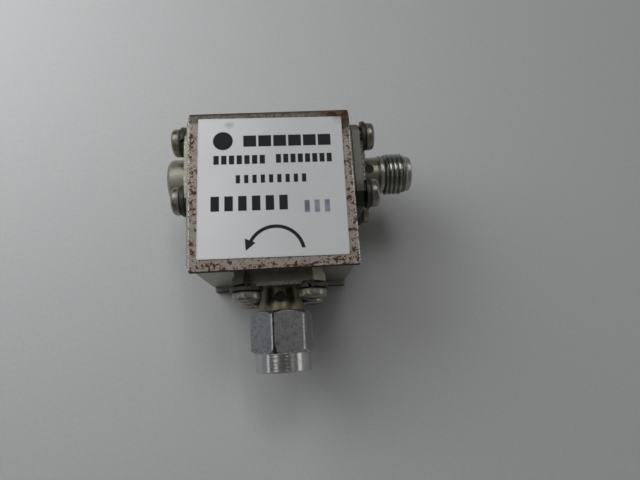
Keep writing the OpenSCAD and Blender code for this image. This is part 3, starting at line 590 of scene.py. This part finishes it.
def screw_metal(port):
    """Pan heads: passivated metal, yellow in places, darkened in the cross recess and round the rim, partly
    dirty and partly painted shade.
    """
    f = Finish(port + "_screw_metal")
    height, across, up = f.from_port(port)
    aside = f.distance(abs(across) - SCREW_PLACE, abs(up) - SCREW_PLACE)
    in_recess = f.rise(aside, RECESS_REACH + 0.06, RECESS_REACH - 0.06)
    recess = in_recess * f.rise(height, RECESS_TOP + 0.1, RECESS_TOP - 0.1)
    rim = f.rise(aside, RIM_REACH - 0.1, RIM_REACH + 0.1) * f.rise(height, RIM_TOP + 0.3, RIM_TOP - 0.3)
    grime_and_shade = f.most(0.9 * recess, 0.6 * rim)
    cloud = f.clouds(0.8, 4.0, 0.6)
    color = f.over(cloud, tint(0.23, 0.22, 0.195), tint(0.44, 0.43, 0.40))
    color = f.over(0.55 * f.patches(1.7, 0.50, 0.62), color, tint(0.42, 0.36, 0.21))
    color = f.over(0.6 * f.patches(0.3, 0.60, 0.70, 3.0), color, tint(0.07, 0.06, 0.04))
    # Painted shade, partly dirty: near black in the cross recess and round the rim
    color = f.over(grime_and_shade, color, tint(0.020, 0.017, 0.012))
    relief = 0.010 * f.clouds(0.22, 3.0) + 0.006 * f.clouds(0.5)
    return f.surface(color, 0.20 + 0.18 * cloud + 0.3 * grime_and_shade, 1.0 - 0.6 * grime_and_shade, relief)


def washer_metal():
    """Split washers: spring steel, dark partly from oxide and partly as painted shade under the heads."""
    f = Finish("washer_metal")
    cloud = f.clouds(0.5, 3.0)
    # Painted shade, partly oxide: the whole washer in near-black tones
    color = f.over(cloud, tint(0.035, 0.032, 0.026), tint(0.16, 0.15, 0.13))
    return f.surface(color, 0.40 + 0.12 * cloud, 0.85, 0.003 * f.clouds(0.2))


# Finishes of the pieces inside

def ground_face(name, dark, light, roughness, metallic, grain=0.2):
    """A ground or cast face: a speckle of two tones with a fine grain."""
    f = Finish(name)
    color = f.over(f.clouds(grain, 3.0), dark, light)
    return f.surface(color, roughness + 0.1 * f.clouds(grain * 3), metallic, 0.004 * f.clouds(grain))


def gold_plating():
    """Gold-coloured plating on the contacts, paler where it is rubbed."""
    f = Finish("gold_plating")
    color = f.over(f.clouds(0.6, 3.0), tint(0.72, 0.50, 0.17), tint(0.86, 0.68, 0.34))
    return f.surface(color, 0.20 + 0.1 * f.clouds(0.3), 1.0, 0.001 * f.clouds(0.1))


def filler():
    """Black filler in the cross holes, uneven and dusty."""
    f = Finish("filler")
    color = f.over(f.patches(0.2, 0.55, 0.75, 3.0), tint(0.010, 0.010, 0.009), tint(0.07, 0.065, 0.05))
    return f.surface(color, 0.45 + 0.2 * f.clouds(0.3), 0.0, 0.02 * f.clouds(0.4))


# Pieces worked out here

def join_points(work, near, short):
    """Makes near points of a mesh one, and drops faces that are left with too short an edge."""
    bmesh.ops.remove_doubles(work, verts=work.verts, dist=near)
    bmesh.ops.dissolve_degenerate(work, edges=work.edges, dist=short)


def joined_mesh(node):
    """A copy of a CAD node's mesh: loose triangles joined, flat faces whole again and normals left free."""
    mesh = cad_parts[node].data.copy()
    work = bmesh.new()
    work.from_mesh(mesh)
    join_points(work, *COPY_JOIN)
    bmesh.ops.dissolve_limit(work, angle_limit=FLAT_BEND, verts=work.verts, edges=work.edges)
    work.to_mesh(mesh)
    work.free()
    mesh.attributes.remove(mesh.attributes["custom_normal"])
    mesh.materials.clear()
    return mesh


def stand_for(mesh, name, node, finishes, edge, body="isolator"):
    """A piece that stands for one CAD node, with smooth round faces and edges broken by a small bevel."""
    mesh.name = name
    for finish in finishes:
        mesh.materials.append(finish)
    mesh.polygons.foreach_set("use_smooth", np.ones(len(mesh.polygons), dtype=bool))
    mesh.set_sharp_from_angle(angle=SHARP_BEND)
    piece = bpy.data.objects.new(name, mesh)
    bpy.context.scene.collection.objects.link(piece)
    if edge:
        broken = piece.modifiers.new("broken edges", "BEVEL")
        broken.width = edge * MM
        broken.segments = 2
        broken.limit_method = "ANGLE"
        broken.angle_limit = SHARP_BEND
        broken.harden_normals = True
        broken.miter_outer = "MITER_ARC"
    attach(piece, body)
    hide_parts(node)


def move_wall(mesh, port, old_radius, new_radius):
    """Moves a round wall of a mesh to another radius, and gives the heights between which it stands.

    A point's height is how far it lies along the port's axis from the port's origin. What is left of its
    offset points away from the axis. The wall's points move along that, by the ratio of the two radii.
    """
    origin, outward = PORTS[port]
    points = np.empty(len(mesh.vertices) * 3)
    mesh.vertices.foreach_get("co", points)
    points = points.reshape(-1, 3)
    height = (points - origin) @ outward
    from_axis = points - origin - height[:, None] * outward
    radius = np.linalg.norm(from_axis, axis=1)
    wall = np.abs(radius - old_radius * MM) < WALL_SPREAD * MM
    points[wall] += from_axis[wall] * (new_radius / old_radius - 1.0)
    mesh.vertices.foreach_set("co", points.ravel())
    return height[wall].min() / MM, height[wall].max() / MM


def thread_sleeve(port, start, end, crest, root, back):
    """Points and faces of a threaded sleeve, in metres.

    One parameter is the turn round the axis, the other the place across the thread's profile. The height is
    the start plus one pitch for each turn or profile, held between start and end. The radius falls from the
    crest's flat at 60 degrees to the root, and tapers off at both ends. A first and a last row close the
    sleeve behind the thread.
    """
    origin, outward = PORTS[port]
    sense = math.copysign(1.0, crest - root)
    turn = np.linspace(0.0, 2 * math.pi, THREAD_COLUMNS + 1)[None, :]
    profiles = int(math.ceil((end - start) / PITCH)) + 2
    place = (np.arange(profiles * THREAD_ROWS + 1) / THREAD_ROWS - 1.0)[:, None]
    height = np.clip(start + (place + turn / (2 * math.pi)) * PITCH, start, end)
    from_crest = np.abs((place % 1.0) - 0.5) * PITCH
    drop = np.clip((from_crest - CREST_FLAT / 2) * FLANK_SLOPE, 0.0, abs(crest - root))
    taper = sense * root - TAPER_DEPTH + np.minimum(height - start, end - height) * TAPER_SLOPE
    radius = sense * np.minimum(sense * crest - drop, taper)
    last = np.ones_like(turn)
    height = np.vstack([start * last, height, end * last])
    radius = np.vstack([back * last, radius, back * last])
    aside = np.cross(outward, [0.0, 0.0, 1.0])
    above = np.cross(outward, aside)
    across = radius[..., None] * (np.cos(turn)[..., None] * aside + np.sin(turn)[..., None] * above)
    points = origin + MM * (height[..., None] * outward + across)
    index = np.arange(height.size).reshape(height.shape)
    after = np.roll(index, -1, axis=0)
    faces = np.stack([index[:, :-1], index[:, 1:], after[:, 1:], after[:, :-1]], axis=-1)
    return points.reshape(-1, 3), faces.reshape(-1, 4)


def threaded_mesh(node, port, crest, root, back, room):
    """A node's mesh with a threaded sleeve in place of the plain wall that stands at the thread's crests.

    The wall is moved to the radius that gives the sleeve room. The sleeve's seam and ends are joined, its
    faces point outwards, and they take the piece's second finish.
    """
    mesh = joined_mesh(node)
    start, end = move_wall(mesh, port, crest, room)
    points, faces = thread_sleeve(port, start, end, crest, root, back)
    sleeve = bpy.data.meshes.new("sleeve")
    sleeve.from_pydata(points.tolist(), [], faces.tolist())
    work = bmesh.new()
    work.from_mesh(sleeve)
    join_points(work, *SLEEVE_JOIN)
    bmesh.ops.recalc_face_normals(work, faces=work.faces)
    for face in work.faces:
        face.material_index = 1
    work.from_mesh(mesh)
    work.to_mesh(mesh)
    work.free()
    bpy.data.meshes.remove(sleeve)
    return mesh


jack_finish = connector_plating("jack", 0.40, 2.4, 1.5, 0.95)
nut_finish = nut_steel()
block_finish = block_plating()

# The pieces with no thread: name, node, slot, finish, and how far their edges are broken
PLAIN_PIECES = [
    ("bent_yoke", "yoke", "yoke_steel", yoke_steel(), 0.10),
    ("milled_block", "housing_block", "plated_block", block_finish, 0.06),
    ("turned_plug", "plug_body", "connector_body", connector_plating("plug", 0.55, 4.2, 0.72, 0.0), 0.05),
    ("capped_load", "load_body", "load_metal", load_plating(), 0.05),
    ("plug_pan_screws", "plug_screws", "screw_metal", screw_metal("plug"), 0.05),
    ("jack_pan_screws", "jack_screws", "screw_metal", screw_metal("jack"), 0.05),
    ("load_pan_screws", "load_screws", "screw_metal", screw_metal("load"), 0.05),
]
for name, node, slot, finish, edge in PLAIN_PIECES:
    stand_for(joined_mesh(node), name, node, [finish], edge)

jack = threaded_mesh("jack_body", "jack", *JACK_THREAD)
stand_for(jack, "threaded_jack", "jack_body", [jack_finish, thread_plating()], 0.0)
nut = threaded_mesh("coupling_nut", "plug", *NUT_THREAD)
stand_for(nut, "hexagon_nut", "coupling_nut", [nut_finish, nut_finish], 0.05, "nut")

strip_metal = ground_face("strip_metal", tint(0.60, 0.44, 0.20), tint(0.74, 0.58, 0.32), 0.25, 1.0)
magnet = ground_face("magnet", tint(0.045, 0.045, 0.046), tint(0.085, 0.084, 0.082), 0.55, 0.1)
pole_steel = ground_face("pole_steel", tint(0.34, 0.335, 0.33), tint(0.52, 0.515, 0.50), 0.34, 1.0)
ferrite = ground_face("ferrite", tint(0.035, 0.035, 0.040), tint(0.070, 0.070, 0.076), 0.38, 0.1)
rubber = ground_face("gasket", tint(0.24, 0.045, 0.028), tint(0.34, 0.075, 0.045), 0.6, 0.0)
insulator = ground_face("insulator", tint(0.72, 0.70, 0.64), tint(0.82, 0.81, 0.77), 0.42, 0.0, 0.6)
resistor = ground_face("resistor", tint(0.06, 0.05, 0.045), tint(0.12, 0.10, 0.09), 0.4, 0.0)

# The nodes that keep their own mesh, with their finish
FINISHED_NODES = [
    (label_film(), ["label"]),
    (block_finish, ["cover_disc"]),
    (washer_metal(), ["plug_lock_washers", "jack_lock_washers", "load_lock_washers"]),
    (filler(), ["plug_epoxy", "jack_epoxy"]),
    (gold_plating(), ["plug_pin", "jack_contact", "load_contact"]),
    (strip_metal, ["centre_conductor"]),
    (magnet, ["lower_magnet", "upper_magnet"]),
    (pole_steel, ["lower_pole_disc", "upper_pole_disc", "snap_ring"]),
    (ferrite, ["lower_ferrite", "upper_ferrite"]),
    (rubber, ["gasket"]),
    (insulator, ["plug_dielectric", "jack_dielectric", "load_bead"]),
    (resistor, ["load_resistor"]),
]
for finish, nodes in FINISHED_NODES:
    for node in nodes:
        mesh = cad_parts[node].data
        mesh.materials.clear()
        mesh.materials.append(finish)


# Floor, light and camera

def surroundings(f, towards):
    """The room's tone in a direction: paler low down, dark overhead and in front, cooler on the left.

    A panel's direction and the ray are both squeezed by its factor along Y, and a factor below 1 draws the
    panel out that way. It glows where the angle between the two is less than its half width. The camera
    itself sees a plain pale tone.
    """
    x, y, z = f.parts(towards)
    level = f.rise(z, 0.80, 0.10) * (0.3 + 0.7 * f.rise(y, -0.9, 0.1))
    level = level * (1.0 - 0.75 * f.rise(y, 0.55, 0.95))
    walls = f.over(f.rise(x, -0.6, 0.6), tint(0.24, 0.252, 0.275), tint(0.26, 0.258, 0.23))
    tone = f.over(level, tint(0.078, 0.076, 0.073), walls)
    for aim, half_width, along, strength in PANELS:
        middle = np.array(aim) * (1.0, along, 1.0)
        ray = f.vector_maths("NORMALIZE", f.vector(x, y * along, z))
        facing = f.vector_maths("DOT_PRODUCT", ray, middle / np.linalg.norm(middle))
        outer, inner = math.radians(1.2 * half_width + 1.0), math.radians(0.8 * half_width)
        glow = f.rise(facing, math.cos(outer), math.cos(inner))
        tone = f.over(glow, tone, tint(1.0, 1.0, 1.0, strength))
    pale = tint(0.50, 0.505, 0.515)
    return f.over(f.add("ShaderNodeLightPath", out="Is Camera Ray"), tone, pale)


def desk():
    """A wide flat floor: a grid of points at height 0, pale grey, faintly mottled, fading into the room."""
    steps = np.linspace(-DESK_HALF, DESK_HALF, DESK_POINTS)
    across, along = np.meshgrid(steps, steps)
    points = np.stack([across.ravel(), along.ravel(), np.zeros(across.size)], axis=1)
    index = np.arange(across.size).reshape(across.shape)
    corners = [index[:-1, :-1], index[:-1, 1:], index[1:, 1:], index[1:, :-1]]
    faces = np.stack(corners, axis=-1).reshape(-1, 4)
    mesh = bpy.data.meshes.new("desk")
    mesh.from_pydata(points.tolist(), [], faces.tolist())
    f = Finish("desk")
    color = f.over(f.clouds(0.6, 3.0, 0.7), tint(0.370, 0.375, 0.380), tint(0.450, 0.455, 0.460))
    plain = {"Base Color": color, "Roughness": 0.6, "Specular IOR Level": 0.25}
    top = f.add("ShaderNodeBsdfPrincipled", {}, plain)
    outwards = f.vector_maths("NORMALIZE", f.place)
    haze = f.add("ShaderNodeEmission", {}, {"Color": surroundings(f, outwards)})
    far = f.rise(f.distance(f.x, f.y), HAZE_START, HAZE_END)
    faded = f.add("ShaderNodeMixShader", {}, (far, top, haze))
    f.add("ShaderNodeOutputMaterial", {}, (faded,))
    mesh.materials.append(f.owner)
    piece = bpy.data.objects.new("desk", mesh)
    bpy.context.scene.collection.objects.link(piece)


def placed(name, data, right, up, back, place):
    """Puts a lamp or camera in the scene, by its right, up and back directions and its place in metres."""
    holder = bpy.data.objects.new(name, data)
    bpy.context.scene.collection.objects.link(holder)
    rows = np.eye(4)
    rows[:3] = np.stack([right, up, back, place], axis=1)
    holder.matrix_world = Matrix(rows.tolist())
    return holder


def lamp(name, place, size, watts):
    """A square soft lamp that faces the lit point and isn't mirrored in metal. Lengths in millimetres."""
    light = bpy.data.lights.new(name, "AREA")
    light.shape = "SQUARE"
    light.size = size * MM
    light.energy = watts
    back = np.array(place) - LIT_POINT
    back = back / np.linalg.norm(back)
    right = np.cross([0.0, 0.0, 1.0], back)
    right = right / np.linalg.norm(right)
    holder = placed(name, light, right, np.cross(back, right), back, np.array(place) * MM)
    holder.visible_glossy = False


def room():
    """The world round the isolator, in the room's tones."""
    world = bpy.data.worlds.new("room")
    bpy.context.scene.world = world
    f = Finish("room", world)
    tone = surroundings(f, f.add("ShaderNodeTexCoord", out="Generated"))
    light = f.add("ShaderNodeBackground", {}, {"Color": tone, "Strength": 1.0})
    f.add("ShaderNodeOutputWorld", {}, (light,))


def photo_camera():
    """The camera where the photograph was taken, found by fitting its view to the solids."""
    camera = bpy.data.cameras.new("photo_camera")
    camera.sensor_width = 36.0
    camera.lens = 25.508
    camera.clip_start = 0.001
    camera.clip_end = 20.0
    right = (0.9967661, -0.0631656, 0.0496732)
    up = (0.0500672, 0.9716795, 0.2309376)
    back = (-0.0628537, -0.2277038, 0.9716998)
    place = (0.00196155, -0.02045882, 0.07676694)
    bpy.context.scene.camera = placed("photo_camera", camera, right, up, back, place)


desk()
room()
lamp("window", (-77.0, 53.0, 75.0), 80.0, 0.082)
lamp("ceiling", (60.0, 420.0, 600.0), 230.0, 0.97)
photo_camera()
bpy.context.scene.view_settings.view_transform = "Standard"
